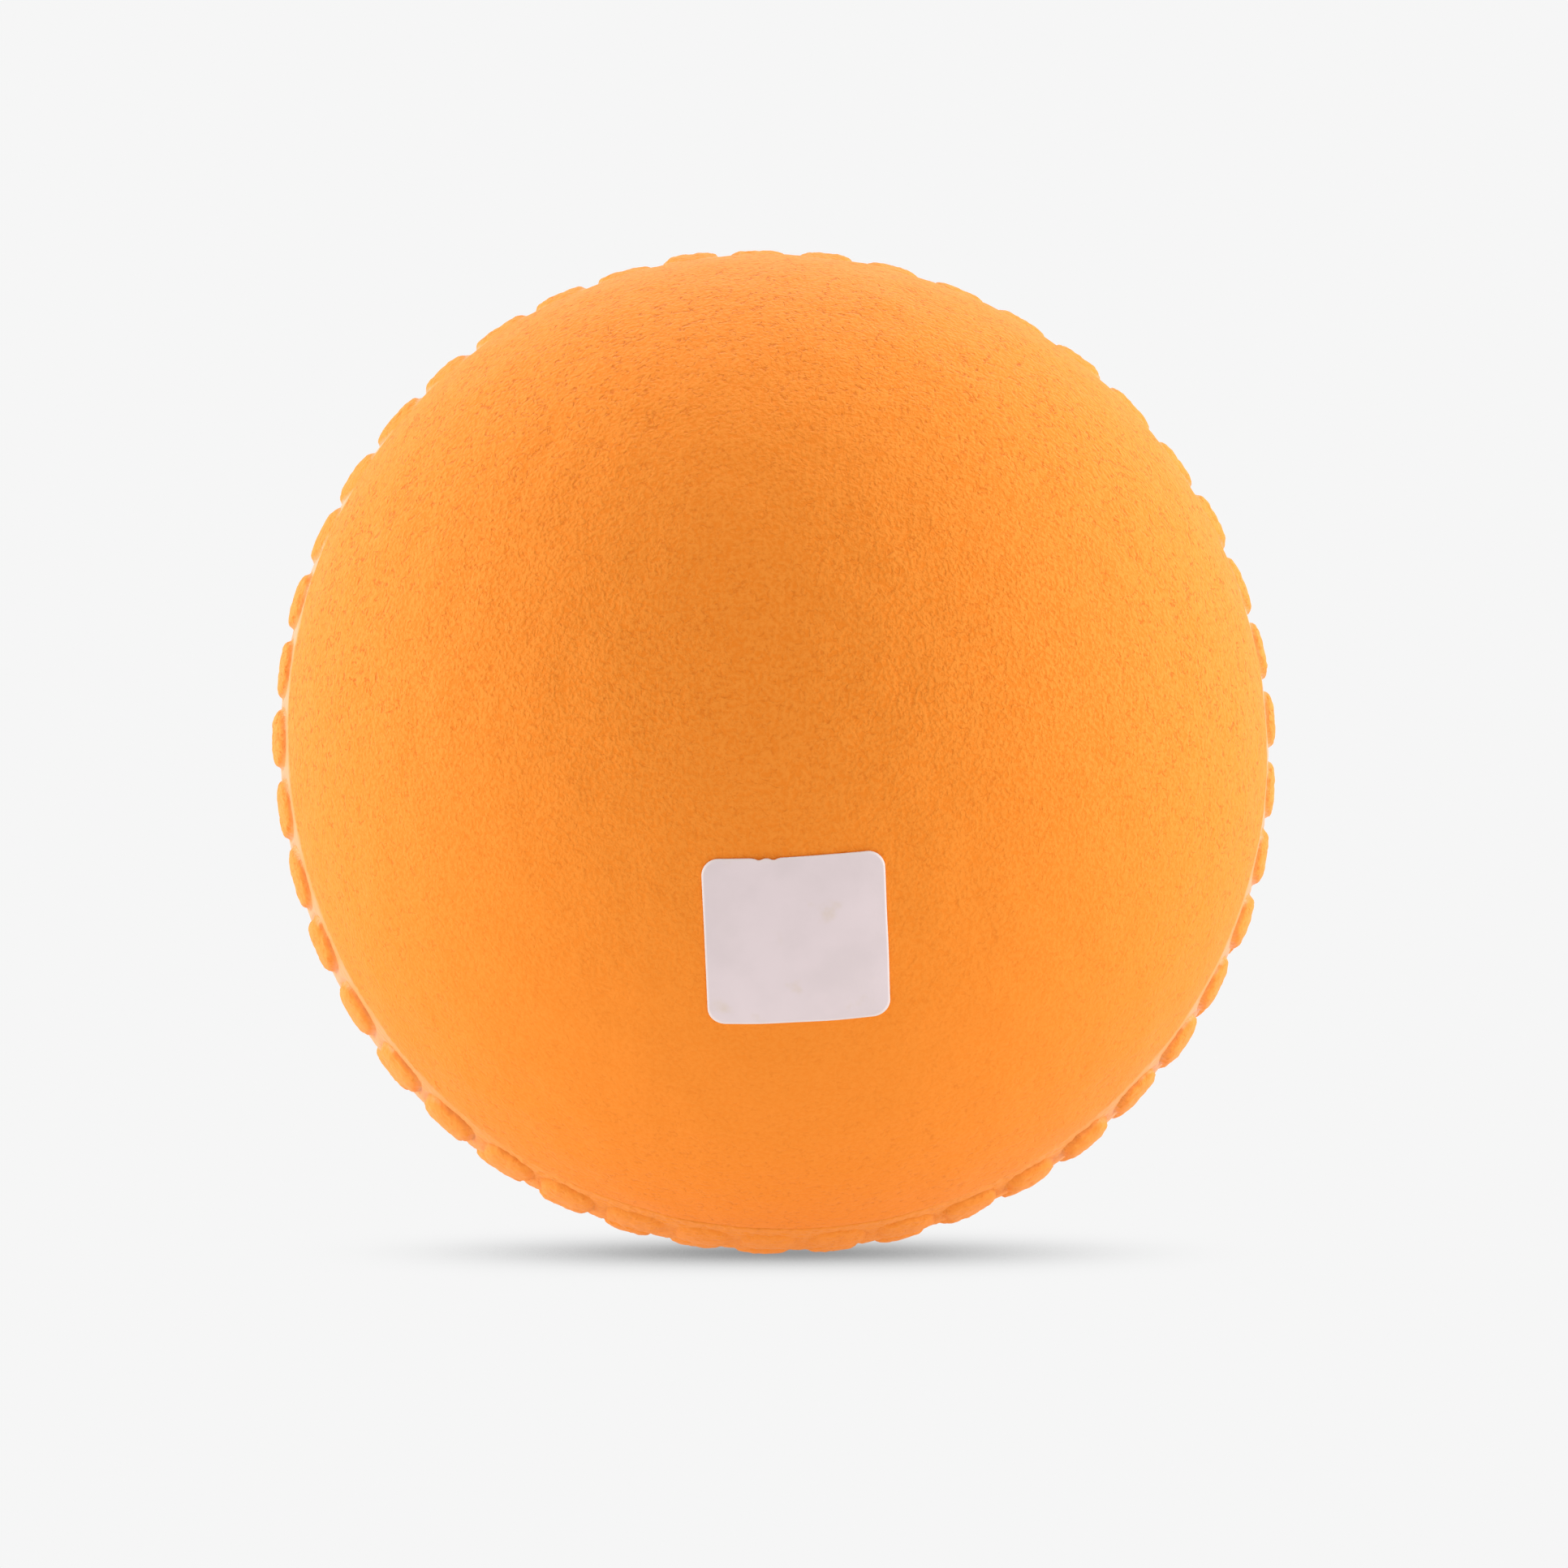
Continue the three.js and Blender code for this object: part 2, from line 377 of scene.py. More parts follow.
def nap_group():
    """Buffed nap as a node group: a soft mottle over the foam's colour, torn strands as short dark
    strokes, raised ones as pale strokes, fibre tips as small pale flecks, and the height of tips and
    torn strands. The dark strokes are worn down in the middle of each face, and the nap is thin on the
    ball's lower part."""
    group = bpy.data.node_groups.new("buffed_nap", "ShaderNodeTree")
    for name in ("Foam", "Torn", "Tip"):
        group.interface.new_socket(name, in_out="INPUT", socket_type="NodeSocketColor")
    group.interface.new_socket("Colour", in_out="OUTPUT", socket_type="NodeSocketColor")
    group.interface.new_socket("Height", in_out="OUTPUT", socket_type="NodeSocketFloat")
    given = put(group, "NodeGroupInput").outputs
    place = put(group, "ShaderNodeTexCoord").outputs["Object"]
    strand = noise(group, place, NAP_STRAND, detail=1, curl=NAP_CURL)
    breaks = noise(group, place, NAP_BREAK, detail=1)
    mottle = noise(group, place, NAP_MOTTLE, detail=2)
    fibre = noise(group, place, NAP_FIBRE, detail=2)
    rise = put(group, "ShaderNodeSeparateXYZ", {"Vector": place}).outputs["Z"]
    full = scaled(group, rise, NAP_THIN_BETWEEN, (NAP_THIN_SHARE, 1))
    level = put(group, "ShaderNodeVectorMath", {0: place, 1: (1, 0, 1)}, operation="MULTIPLY")
    outward = put(group, "ShaderNodeVectorMath", {0: level.outputs[0]}, operation="LENGTH")
    strength = scaled(group, outward.outputs["Value"], WORN_BETWEEN, (WORN_STRENGTH, 1))
    torn = combine(group, "MULTIPLY", stroke_mask(group, strand, breaks), strength)
    tip = remap(group, fibre, *NAP_TIPS)
    tufted = combine(group, "MAXIMUM", tip, stroke_mask(group, breaks, strand))
    patch = combine(group, "MULTIPLY", mottle, NAP_MOTTLE_SHARE)
    foam = mix_colours(group, patch, given["Foam"], given["Tip"])
    stroked = mix_colours(group, torn, foam, given["Torn"])
    tipped = mix_colours(group, tufted, stroked, given["Tip"])
    thin = mix_colours(group, NAP_THIN_TIPS, foam, given["Tip"])
    colour = mix_colours(group, full, thin, tipped)
    height = combine(group, "MULTIPLY", combine(group, "SUBTRACT", tip, torn), full)
    put(group, "NodeGroupOutput", {"Colour": colour, "Height": height})
    return group


buffed_nap = nap_group()


def cover_material():
    """Matte napped foam: the nap group's colour and relief, with a broad faint gloss, and a faint sheen
    from the fibre tips."""
    material, tree, shader = new_material("napped_foam", NAP_FINISH)
    colours = {"Foam": NAP_COLOUR, "Torn": NAP_TORN_COLOUR, "Tip": NAP_TIP_COLOUR}
    nap = put(tree, "ShaderNodeGroup", colours, node_tree=buffed_nap)
    dress(tree, shader, nap.outputs["Colour"], nap.outputs["Height"], NAP_RELIEF)
    return material


napped_foam = cover_material()
cover_points, cover_faces = cover_mesh()
for cover_name, cover_node, half_turn in (
    ("front_nap_cover", "front_cover", (1, 1, 1)),
    ("back_nap_cover", "back_cover", (1, -1, -1)),
):
    placed = cover_points * half_turn
    outside = ramp(np.linalg.norm(placed, axis=-1) - BALL_RADIUS, *RELIEF_BETWEEN)
    placed = stand(raise_by(placed, outside * nap_relief(placed)))
    cover = add_piece(cover_name, placed, cover_faces, napped_foam)
    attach(cover, "root")
    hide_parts(cover_node)


# Seam band
# A ring moulded in firmer foam with a smooth pressed skin, bedded in the core's channel between the
# covers' rims. Two rows of raised pads, buffed on top, are moulded on it in place of sewn stitches.

BAND_HALF = 7.25 * MM  # half the band's width
BAND_INNER_RADIUS = 29.3 * MM
BAND_EDGE_DROP = 0.03 * MM
BAND_EDGE_FROM = 0.93  # share of the half width where the edge begins to drop
VALLEY_RADIUS = 35.76 * MM
STITCH_COUNT = 45  # in each row
STITCH_LENGTH = 4.1 * MM
REAR_STITCH_LENGTH = 3.6 * MM
STITCH_WIDTH = 4.9 * MM
STITCH_ROW_OFFSET = 3.1 * MM  # middle of a row from the seam's middle plane
FRONT_STITCH_HEIGHT = 0.58 * MM
REAR_STITCH_HEIGHT = 0.42 * MM
STITCH_SQUARENESS = 2.8  # power of the superellipse
STITCH_END_DOME = 3.6  # powers of the dome, along and across the seam
STITCH_SIDE_DOME = 2.2
STITCH_SPREAD = 0.08  # of the pads' heights; half of it for their places, a third for their lengths
STITCH_RAGGEDNESS = 0.025
RAGGED_LONG = 1.4 * MM
RAGGED_SHORT = 0.6 * MM
STITCH_FUZZ = 0.035 * MM
STITCH_FUZZ_LENGTH = 0.7 * MM
STITCH_TURN = np.radians(-0.3)
REAR_ROW_LAG = np.radians(0.35)
# For each drift: how often it comes round the ball, its size in degrees, and its crest in degrees.
STITCH_DRIFTS = ((1, 0.67, 260), (2, 0.81, 75))
REAR_ROW_DRIFTS = ((1, 0.45, 190),)
RUN_OUT = 1.7 * MM  # how much further the upper pads reach towards the covers
RUN_OUT_DROP = 0.1
RUN_OUT_BETWEEN = (0.27, 0.47)  # heights, in ball radii, where the run-out begins and is full
GROOVE_DEPTH = 0.14 * MM
GROOVE_AT = 1.04  # places round a pad, in pad halves
GROOVE_HALF = 0.07
PAD_NAP_EDGE = (1.02, 0.94)
# painted shade in the creases under the pads' long edges: its place round a pad, strength and reach
CREASE_SHADE_OUTSIDE = (1.06, 1.03)
CREASE_SHADE_INSIDE = (0.97, 1)
CREASE_SHADE_STRENGTH = 0.75
CREASE_SHADE_BETWEEN = (6 / 7, -4 / 7)  # heights, in ball radii, where the painted crease shade begins and is full
REST_AT = np.radians(268)
REST_REACH = np.radians(24)
REST_SQUASH = 0.5
REST_SWELL = 0.13 * MM
REST_GROOVE_FADE = 0.7
# how much the painted crease shade fades where the ball rests
REST_CREASE_SHADE_FADE = 0.85
RUB_REACH = np.radians(45)
RUB_STRENGTH = 1.5
FLOOR_GIVE = 0.05 * MM  # flattening of the lowest pads
BAND_STATIONS = STITCH_COUNT * 28
BAND_ROWS = 70
SIDE_ROWS = 3
ROW_STEPS = 2000
ROW_CROWDING = 2.5  # extra rows at the pads' outer edges
ROW_CROWD_HALF = 0.5 * MM
NAP_MARGIN = (6.3 * MM, 7.2 * MM)  # places across the band where the margin's nap begins and is full
SHEEN_PAINT_BETWEEN = (0.2, 0.45)  # heights, in ball radii, where the painted sheen on the pads begins and is full
SKIN_COLOUR = (0.96, 0.33, 0.06, 1)
PAD_COLOUR = (0.9, 0.265, 0.03, 1)
PAD_TORN_COLOUR = (0.76, 0.19, 0.014, 1)
PAD_TIP_COLOUR = (0.96, 0.335, 0.055, 1)
# painted sheen: a paler pad colour towards the top of the ball
PAD_SHEEN_PAINT_COLOUR = (0.95, 0.3, 0.036, 1)
# painted shade for the creases under the pads
CREASE_SHADE_COLOUR = (0.64, 0.185, 0.025, 1)
SKIN_GRAIN = 0.3 * MM
SKIN_GRAIN_SHARE = 0.1  # of the nap's relief
BAND_FINISH = {
    "Roughness": 0.75,
    "Coat Roughness": 0.3,
    "Specular IOR Level": 0.13,
    "Sheen Weight": 0.09,
    "Sheen Roughness": 0.35,
    "Sheen Tint": (1, 0.97, 0.94, 1),
}


def bell(value, middle, half):
    """1 at the middle, falling to both sides: e to the power of less the squared distance in halves."""
    return np.exp(-(((value - middle) / half) ** 2))


def drift(angle, drifts):
    """Angle by which a row is stretched off its even spacing round the ball: for each drift, its size
    times the cosine of its count times the angle from its crest."""
    stretch = sum(size * np.cos(count * (angle - np.radians(crest))) for count, size, crest in drifts)
    return np.radians(stretch)


def rest(angle, reach):
    """How near an angle is to the place that the ball rests on: a bell of 1 there, within the reach."""
    return bell((angle - REST_AT + np.pi) % (2 * np.pi) - np.pi, 0, reach)


def stitch_pads(angle, across):
    """Height of the pads over the valley, and masks of the pads and of the painted shade in the creases
    under their long edges. A point's places along and across its pad, in pad halves, join into one
    superellipse distance. The pad's dome is the square root of one less a power of that distance, flatter
    along the seam than across it. It stands in a shallow groove at its foot. The rear row is lower, and
    lags behind the front one, with shorter pads. Towards the top of the ball the pads are a little lower,
    their outer sides run out to the covers in an even slope, and groove and painted crease shade fade.
    Where the ball rests, the pads are squashed, the valley swells, and groove and painted crease shade
    fade too."""
    pitch = 2 * np.pi / STITCH_COUNT
    chance = np.random.default_rng(4)
    height = np.zeros(np.broadcast(angle, across).shape)
    mask = np.zeros_like(height)
    crease_shade = np.zeros_like(height)
    place = carry_round(VALLEY_RADIUS, across, angle)
    ragged = ripple(place, RAGGED_LONG, seed=5) + ripple(place, RAGGED_SHORT, seed=6) / 2
    resting = rest(angle, REST_REACH)
    high = ramp(np.sin(angle), *RUN_OUT_BETWEEN)
    front_shift = STITCH_TURN + drift(angle, STITCH_DRIFTS)
    rear_shift = front_shift - REAR_ROW_LAG - drift(angle, REAR_ROW_DRIFTS)
    for row_offset, shift, stitch_height, stitch_length in (
        (-STITCH_ROW_OFFSET, front_shift, FRONT_STITCH_HEIGHT, STITCH_LENGTH),
        (STITCH_ROW_OFFSET, rear_shift, REAR_STITCH_HEIGHT, REAR_STITCH_LENGTH),
    ):
        longer, taller, slide = chance.normal(0, STITCH_SPREAD, (3, STITCH_COUNT))
        turn = (angle - shift) / pitch
        stitch = np.floor(turn).astype(int) % STITCH_COUNT
        along = (turn - np.floor(turn) - 0.5) * pitch * VALLEY_RADIUS / (stitch_length / 2)
        along = np.abs(along + slide[stitch] / 2) / (1 + longer[stitch] / 3)
        outward = (across - row_offset) * np.sign(row_offset)
        run_out = high * (outward > 0)
        aside = np.abs(outward) / (STITCH_WIDTH / 2 + RUN_OUT * run_out)
        along_part = along**STITCH_SQUARENESS
        aside_part = aside**STITCH_SQUARENESS
        far = (along_part + aside_part) ** (1 / STITCH_SQUARENESS) * (1 + STITCH_RAGGEDNESS * ragged)
        sideways = aside_part / np.maximum(along_part + aside_part, np.finfo(float).tiny)
        power = STITCH_END_DOME + (STITCH_SIDE_DOME - STITCH_END_DOME) * sideways
        dome = (1 - np.minimum(far, 1) ** power) ** (0.5 + 0.5 * run_out * sideways)
        dome *= (1 + taller[stitch]) * (1 - RUN_OUT_DROP * high) * (1 - REST_SQUASH * resting)
        groove = (1 - high) * (1 - REST_GROOVE_FADE * resting) * bell(far, GROOVE_AT, GROOVE_HALF)
        height += stitch_height * dome - GROOVE_DEPTH * groove
        mask += ramp(far, *PAD_NAP_EDGE)
        # painted shade in the creases under each pad's long edges
        crease_shade += sideways**2 * ramp(far, *CREASE_SHADE_INSIDE) * ramp(far, *CREASE_SHADE_OUTSIDE)
    height += REST_SWELL * resting
    crease_shade *= CREASE_SHADE_STRENGTH * ramp(np.sin(angle), *CREASE_SHADE_BETWEEN) * (1 - REST_CREASE_SHADE_FADE * resting)
    return height, np.clip(mask, 0, 1), np.clip(crease_shade, 0, 1)


def band_rows():
    """Places across the band, from one side to the other, drawn together at the pads' long edges: the
    running total of a crowding of 1, plus a bell at each outer edge and a lower one at each inner edge,
    is cut into equal steps."""
    fine = np.linspace(-BAND_HALF, BAND_HALF, ROW_STEPS)
    outer_edge = STITCH_ROW_OFFSET + STITCH_WIDTH / 2
    inner_edge = STITCH_ROW_OFFSET - STITCH_WIDTH / 2
    crowd = 1 + ROW_CROWDING * bell(np.abs(fine), outer_edge, ROW_CROWD_HALF)
    crowd += bell(np.abs(fine), inner_edge, ROW_CROWD_HALF)
    total = np.cumsum(crowd)
    return np.interp(np.linspace(total[0], total[-1], BAND_ROWS), total, fine)


def band_mesh():
    """Seam band in the ball frame, as a closed ring: rows across the outside, each raised by the pads,
    then the sides and the inside wall. Also three masks: its nap, which runs on along both margins
    beside the covers and round the place that the ball rests on, the painted shade in its creases, and
    the painted sheen that makes its upper part paler."""
    across = band_rows()
    angle = np.linspace(0, 2 * np.pi, BAND_STATIONS, endpoint=False)
    height, pads, crease_shade = stitch_pads(angle[None, :], across[:, None])
    margin = ramp(np.abs(across), *NAP_MARGIN)
    rubbed = np.minimum(RUB_STRENGTH * rest(angle, RUB_REACH), 1)
    napped = np.maximum(pads, np.maximum(margin[:, None], rubbed[None, :]))
    unseen = np.zeros((2 * SIDE_ROWS, BAND_STATIONS))
    masks = {
        "napped": np.concatenate([napped, unseen]).reshape(-1),
        "crease_shaded": np.concatenate([crease_shade, unseen]).reshape(-1),
        # painted sheen on the pads towards the top of the ball
        "sheen_painted": np.tile(ramp(np.sin(angle), *SHEEN_PAINT_BETWEEN), BAND_ROWS + 2 * SIDE_ROWS),
    }
    edge_drop = BAND_EDGE_DROP * ramp(np.abs(across) / BAND_HALF, BAND_EDGE_FROM, 1) ** 2
    valley = np.sqrt(VALLEY_RADIUS**2 - across**2)
    outside = carry_round(valley[:, None], across[:, None], angle[None, :])
    outside = raise_by(outside, height - edge_drop[:, None])
    depth = np.linspace(0, 1, SIDE_ROWS + 1)[1:, None, None]
    sole = carry_round(BAND_INNER_RADIUS, np.array([[BAND_HALF], [-BAND_HALF]]), angle[None, :])
    far_side = outside[-1] + (sole[0] - outside[-1]) * depth
    near_side = sole[1] + (outside[0] - sole[1]) * (depth - depth[0])
    rings = np.concatenate([outside, far_side, near_side])
    return rings.reshape(-1, 3), [ring_faces(len(rings), BAND_STATIONS, closed=True)], masks


def add_mask(piece, name, values):
    """A value at each of a piece's points, stored under a name."""
    piece.data.attributes.new(name, "FLOAT", "POINT").data.foreach_set("value", values)


def read_mask(tree, name):
    """A piece's own mask of that name, in its material."""
    return put(tree, "ShaderNodeAttribute", attribute_name=name).outputs["Fac"]


def band_material():
    """Smooth satin skin in the valley, buffed nap on the pads with a painted sheen that pales them near
    the top, and painted shade in the creases beside them, shared out by the band's own masks."""
    material, tree, shader = new_material("seam_foam", BAND_FINISH)
    napped = read_mask(tree, "napped")
    colours = {"Foam": PAD_COLOUR, "Torn": PAD_TORN_COLOUR, "Tip": PAD_TIP_COLOUR}
    nap = put(tree, "ShaderNodeGroup", colours, node_tree=buffed_nap)
    # painted sheen pales the pads towards the top of the ball
    sheen_painted_nap = mix_colours(tree, read_mask(tree, "sheen_painted"), nap.outputs["Colour"], PAD_SHEEN_PAINT_COLOUR)
    buffed = mix_colours(tree, napped, SKIN_COLOUR, sheen_painted_nap)
    # painted shade darkens the creases
    colour = mix_colours(tree, read_mask(tree, "crease_shaded"), buffed, CREASE_SHADE_COLOUR)
    place = put(tree, "ShaderNodeTexCoord").outputs["Object"]
    grain = combine(tree, "MULTIPLY", noise(tree, place, SKIN_GRAIN, detail=1), SKIN_GRAIN_SHARE)
    height = combine(tree, "MULTIPLY_ADD", nap.outputs["Height"], napped, grain)
    dress(tree, shader, colour, height, NAP_RELIEF)
    tree.links.new(combine(tree, "SUBTRACT", 1, napped), shader.inputs["Coat Weight"])
    return material


band_points, band_faces, band_masks = band_mesh()
band_fuzz = nap_relief(band_points) + STITCH_FUZZ * ripple(band_points, STITCH_FUZZ_LENGTH, seed=7)
band_points = stand(raise_by(band_points, band_masks["napped"] * band_fuzz))
floor_level = band_points[:, 2].min() + FLOOR_GIVE
band_points[:, 2] = np.maximum(band_points[:, 2], floor_level)
band = add_piece("stitched_band", band_points, band_faces, band_material())
for mask_name, mask_values in band_masks.items():
    add_mask(band, mask_name, mask_values)
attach(band, "root")
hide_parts("seam_band")


# Label
# A small blank square of satin paper film with round corners, pressed onto the front cover with its own
# adhesive a little askew. It follows the ball's curve, its upper edge is nicked, and a painted highlight
# runs along its edge.

LABEL_WIDTH = 12.45 * MM
LABEL_HEIGHT = 12.15 * MM
LABEL_CORNER = 1.2 * MM
LABEL_THICKNESS = 0.12 * MM
LABEL_LIFT = 0.08 * MM
LABEL_DROP = np.radians(29.15)
LABEL_SIDE = np.radians(0.35)
LABEL_ROLL = np.radians(3.2)
LABEL_RINGS = 40
LABEL_STATIONS = 400
NICKS_AT = (-2.3 * MM, -1.3 * MM)
NICK_HALF = 0.28 * MM
NICK_DEPTH = 0.13 * MM
NICK_CURL = 0.1 * MM
NICK_CURL_HALF = 1.2 * MM
NICK_CURL_POWER = 12  # keeps the curl close to the edge
FILM_COLOUR = (0.81, 0.685, 0.695, 1)
FILM_SHADE_COLOUR = (0.76, 0.645, 0.65, 1)
FILM_SHADE = (0.35, 0.7)  # noise at which the shade begins and is full
FILM_SOIL_COLOUR = (0.7, 0.56, 0.42, 1)
FILM_SOIL = (0.6, 0.8)  # noise at which a smear begins and is full
FILM_SOIL_SHARE = 0.5
# painted highlight along the label's edge
FILM_EDGE_HIGHLIGHT_COLOUR = (0.9, 0.79, 0.74, 1)
FILM_CLOUD = 4 * MM
FILM_SMEAR = 2.5 * MM
FILM_FIBRE = 0.25 * MM
FILM_RELIEF = 0.006 * MM
FILM_ROUGHNESS = (0.42, 0.58)  # least and most, over the clouds
FILM_FINISH = {"Specular IOR Level": 0.4}


def label_outline():
    """Closed outline of a rectangle with round corners. A walk round the full rectangle is drawn in so
    that each point lies one corner radius from the inner rectangle of the corner centres. Two narrow
    bell-shaped nicks then cut into the upper edge."""
    turn = np.linspace(0, 2 * np.pi, LABEL_STATIONS, endpoint=False)
    square = np.stack([np.cos(turn), np.sin(turn)], axis=-1)
    square /= np.abs(square).max(axis=-1, keepdims=True)
    half = np.array([LABEL_WIDTH, LABEL_HEIGHT]) / 2
    inner = np.clip(square * half, LABEL_CORNER - half, half - LABEL_CORNER)
    away = square * half - inner
    outline = inner + LABEL_CORNER * away / np.linalg.norm(away, axis=-1, keepdims=True)
    upper = outline[:, 1] > half[1] - LABEL_CORNER / 2
    for nick in NICKS_AT:
        outline[:, 1] -= upper * NICK_DEPTH * bell(outline[:, 0], nick, NICK_HALF)
    return outline


def label_mesh():
    """Label in the ball frame, as a thin closed film: the outline shrunk to its middle in even rings,
    laid on the ball along -Y, once as the upper face and once as the lower. It rides on the cover's
    lumps, and its upper edge lifts a little beside the nicks. Also a mask of the edge, for a painted
    highlight."""
    share = np.linspace(0, 1, LABEL_RINGS + 1)[1:]
    share = np.concatenate([share, share[::-1]])
    above = np.repeat([LABEL_THICKNESS, 0], LABEL_RINGS)
    flat = np.concatenate([(share[:, None, None] * label_outline()).reshape(-1, 2), np.zeros((2, 2))])
    above = np.concatenate([np.repeat(above, LABEL_STATIONS), [LABEL_THICKNESS, 0]])
    # mask of the edge rings, for a painted highlight
    edge_highlight = np.concatenate([np.repeat(share == 1, LABEL_STATIONS), [0, 0]]).astype(float)
    beside = bell(flat[:, 0], np.mean(NICKS_AT), NICK_CURL_HALF)
    upper = ramp(flat[:, 1], 0, LABEL_HEIGHT / 2) ** NICK_CURL_POWER
    depth = np.sqrt(BALL_RADIUS**2 - (flat**2).sum(axis=-1))
    points = np.stack([flat[:, 0], -depth, flat[:, 1]], axis=-1)
    points = turned(turned(turned(points, 1, -LABEL_ROLL), 0, LABEL_DROP), 2, LABEL_SIDE)
    lift = LABEL_LIFT + above + NICK_CURL * beside * upper
    points = raise_by(points, lump_relief(points) + lift)
    rings = len(share)
    middle = rings * LABEL_STATIONS
    faces = [
        ring_faces(rings, LABEL_STATIONS),
        fan_faces(0, LABEL_STATIONS, middle)[:, ::-1],
        fan_faces(middle - LABEL_STATIONS, LABEL_STATIONS, middle + 1),
    ]
    return points, faces, edge_highlight


def label_material():
    """Satin paper film: off-white, a faint cloudy shade, a few soiled smears and a painted edge highlight.
    """
    material, tree, shader = new_material("label_film", FILM_FINISH)
    place = put(tree, "ShaderNodeTexCoord").outputs["Object"]
    cloud = noise(tree, place, FILM_CLOUD, detail=3)
    smear = noise(tree, place, FILM_SMEAR, detail=4)
    fibre = noise(tree, place, FILM_FIBRE, detail=2)
    clouded = mix_colours(tree, remap(tree, cloud, *FILM_SHADE), FILM_COLOUR, FILM_SHADE_COLOUR)
    soil = combine(tree, "MULTIPLY", remap(tree, smear, *FILM_SOIL), FILM_SOIL_SHARE)
    soiled = mix_colours(tree, soil, clouded, FILM_SOIL_COLOUR)
    # painted highlight on the label's edge
    colour = mix_colours(tree, read_mask(tree, "edge_highlight"), soiled, FILM_EDGE_HIGHLIGHT_COLOUR)
    dress(tree, shader, colour, fibre, FILM_RELIEF)
    tree.links.new(scaled(tree, cloud, (0, 1), FILM_ROUGHNESS), shader.inputs["Roughness"])
    return material


label_points, label_faces, label_edge_highlight = label_mesh()
label = add_piece("blank_label", stand(label_points), label_faces, label_material())
add_mask(label, "edge_highlight", label_edge_highlight)
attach(label, "root")
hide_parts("label")


# Studio
# A pale floor that runs into a backdrop of the same tone, with the ball's soft contact shadow on it.
# Large soft lamps stand to the left and right, and another hangs over the ball, all a little behind it.

FLOOR_HALF = 4
PALE = 0.922
WHITE = (1, 1, 1, 1)
SHADOW_REACH = 15 * MM  # height of the space over the floor that the ball fills
SHADOW_SAMPLES = 8
SHADOW_FALL = 3
SHADOW_DEPTH = 0.68
SHADOW_AT = -2.8 * MM  # middle and half width of the shadow along Y
SHADOW_HALF = 10.5 * MM
LIT_SHADOW_DEPTH = 0.08
GLOSS_SHADOW_DEPTH = 0.95
FLOOR_GLOW = 1.06
FLOOR_IN_GLOSS = 0.85
BOUNCE_COLOUR = (1, 0.8, 0.56, 1)
FILL_LEVEL = 0.51
LAMPS = (
    ("left_lamp", (-0.62, 0.09, 0.15), 0.6, 1.1),
    ("right_lamp", (0.62, 0.05, 0.24), 0.6, 1.17),
    ("top_lamp", (0, 0.35, 0.58), 0.6, 0.6),
)
CAMERA_DISTANCE = 0.6
CAMERA_RISE = np.radians(2.5)
CAMERA_LENS_MM = 190.7
CAMERA_AIM = (0.74 * MM, 0, -2.3 * MM)


def blend(tree, factor, first, second):
    """A value between two others, from a factor of 0 to 1. The Mix node keeps its values at places 2
    and 3."""
    return put(tree, "ShaderNodeMix", {0: factor, 2: first, 3: second}).outputs[0]


def floor_material():
    """Pale floor of an even tone, darkened by a power of how much of the space just above a point the
    ball fills. For the camera a bell along Y narrows that shadow to a band under the ball. For light
    that falls on the ball, and in reflections, the floor has a level and a depth of shadow of its own,
    and near the ball its glow is tinted with the ball's colour, as painted bounce light."""
    material = bpy.data.materials.new("pale_floor")
    tree = empty_tree(material)
    path = put(tree, "ShaderNodeLightPath").outputs
    seen = combine(tree, "MAXIMUM", path["Is Camera Ray"], path["Is Transmission Ray"])
    nearby = {"Distance": SHADOW_REACH}
    open_share = put(tree, "ShaderNodeAmbientOcclusion", nearby, samples=SHADOW_SAMPLES).outputs["AO"]
    filled = combine(tree, "SUBTRACT", 1, open_share)
    fall = combine(tree, "POWER", filled, SHADOW_FALL)
    place = put(tree, "ShaderNodeTexCoord").outputs["Object"]
    depthwise = put(tree, "ShaderNodeSeparateXYZ", {"Vector": place}).outputs["Y"]
    off_line = combine(tree, "MULTIPLY_ADD", depthwise, 1 / SHADOW_HALF, -SHADOW_AT / SHADOW_HALF)
    squared = combine(tree, "POWER", off_line, 2)
    near_line = combine(tree, "EXPONENT", combine(tree, "MULTIPLY", squared, -1))
    dark = combine(tree, "MULTIPLY", fall, near_line)
    tone = combine(tree, "MULTIPLY_ADD", dark, -PALE * SHADOW_DEPTH, PALE)
    lit = blend(tree, path["Is Glossy Ray"], FLOOR_GLOW, FLOOR_IN_GLOSS)
    depth = blend(tree, path["Is Glossy Ray"], -LIT_SHADOW_DEPTH, -GLOSS_SHADOW_DEPTH)
    glow = combine(tree, "MULTIPLY", lit, combine(tree, "MULTIPLY_ADD", fall, depth, 1))
    # painted bounce light: the ball's colour in the floor's glow near it
    tint = mix_colours(tree, blend(tree, seen, filled, 0), WHITE, BOUNCE_COLOUR)
    light = put(tree, "ShaderNodeEmission", {"Color": tint, "Strength": blend(tree, seen, glow, tone)})
    put(tree, "ShaderNodeOutputMaterial", {"Surface": light.outputs[0]})
    return material


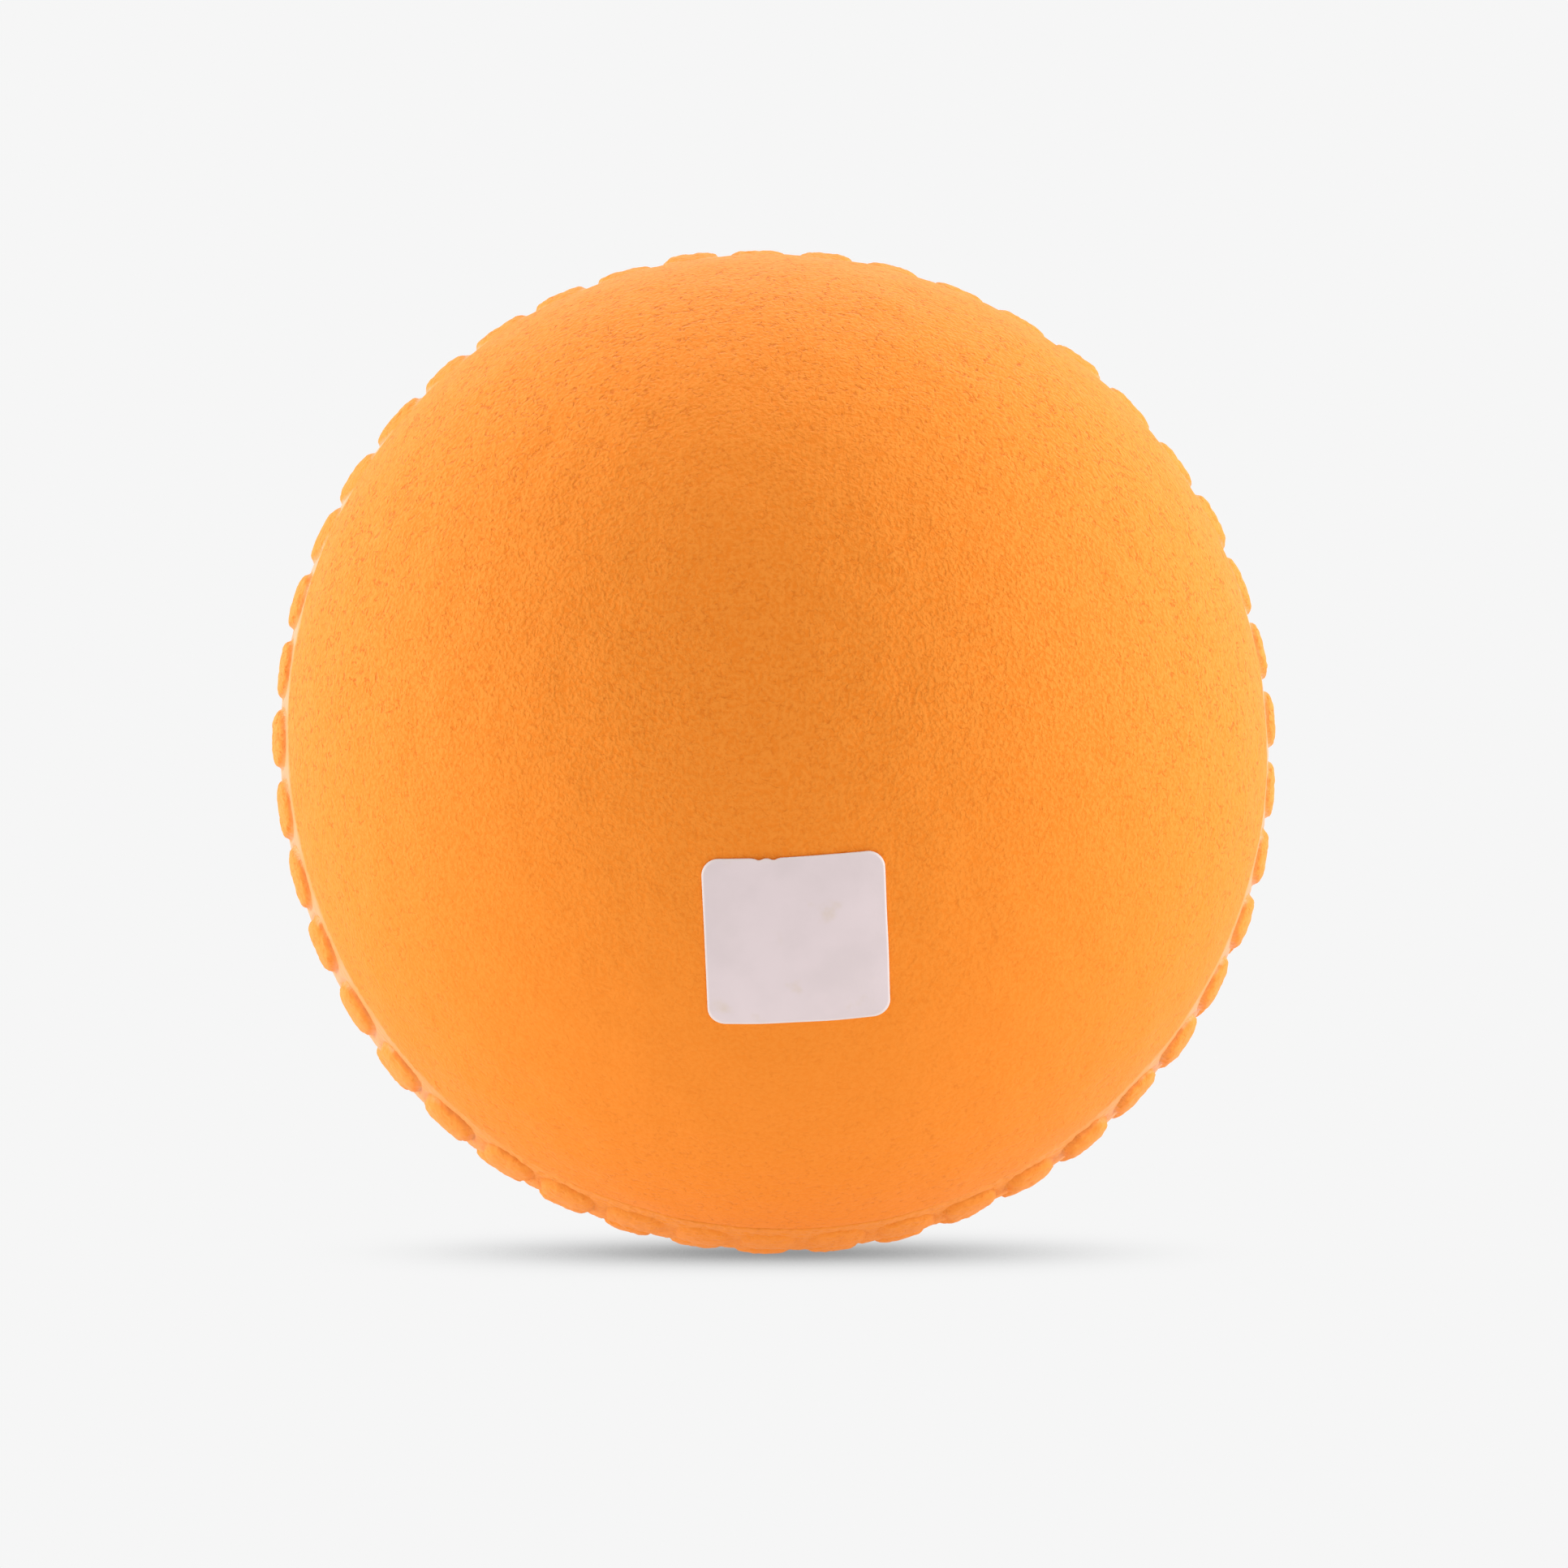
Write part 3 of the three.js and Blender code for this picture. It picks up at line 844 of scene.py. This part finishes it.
def set_world():
    """World light: the pale backdrop tone for the camera, in reflections and through clear pieces, and
    an even fill otherwise."""
    world = bpy.data.worlds.new("studio")
    tree = empty_tree(world)
    path = put(tree, "ShaderNodeLightPath").outputs
    direct = combine(tree, "MAXIMUM", path["Is Camera Ray"], path["Is Glossy Ray"])
    seen = combine(tree, "MAXIMUM", direct, path["Is Transmission Ray"])
    level = blend(tree, seen, FILL_LEVEL, PALE)
    backdrop = put(tree, "ShaderNodeBackground", {"Color": WHITE, "Strength": level})
    put(tree, "ShaderNodeOutputWorld", {"Surface": backdrop.outputs[0]})
    bpy.context.scene.world = world


def aim(thing, place, target):
    """Puts a lamp or camera at a place, looking along its own -Z at a target, with its X level."""
    thing.location = place
    back = np.subtract(place, target)
    tilt = np.arctan2(np.hypot(back[0], back[1]), back[2])
    thing.rotation_euler = (tilt, 0, np.arctan2(back[0], -back[1]))
    bpy.context.scene.collection.objects.link(thing)


def add_lamp(name, place, size, level):
    """A square soft lamp facing the ball. Its power gives a white surface at the ball, square to the
    lamp, about that level of brightness: pi squared times the level times the distance squared."""
    lamp = bpy.data.lights.new(name, "AREA")
    lamp.size = size
    lamp.energy = level * np.pi**2 * np.dot(place, place)
    aim(bpy.data.objects.new(name, lamp), place, (0, 0, 0))


floor_corners = FLOOR_HALF * np.array([[-1, -1, 0], [1, -1, 0], [1, 1, 0], [-1, 1, 0]], dtype=float)
floor_corners[:, 2] = floor_level
floor = add_piece("studio_floor", floor_corners, [np.array([[0, 1, 2, 3]])], floor_material())
floor.visible_shadow = False
set_world()
for lamp_name, lamp_place, lamp_size, lamp_level in LAMPS:
    add_lamp(lamp_name, lamp_place, lamp_size, lamp_level)

camera = bpy.data.cameras.new("photo_camera")
camera.lens = CAMERA_LENS_MM
camera_place = (0, -CAMERA_DISTANCE * np.cos(CAMERA_RISE), CAMERA_DISTANCE * np.sin(CAMERA_RISE))
camera_object = bpy.data.objects.new("photo_camera", camera)
aim(camera_object, camera_place, CAMERA_AIM)
bpy.context.scene.camera = camera_object
bpy.context.scene.view_settings.view_transform = "Standard"
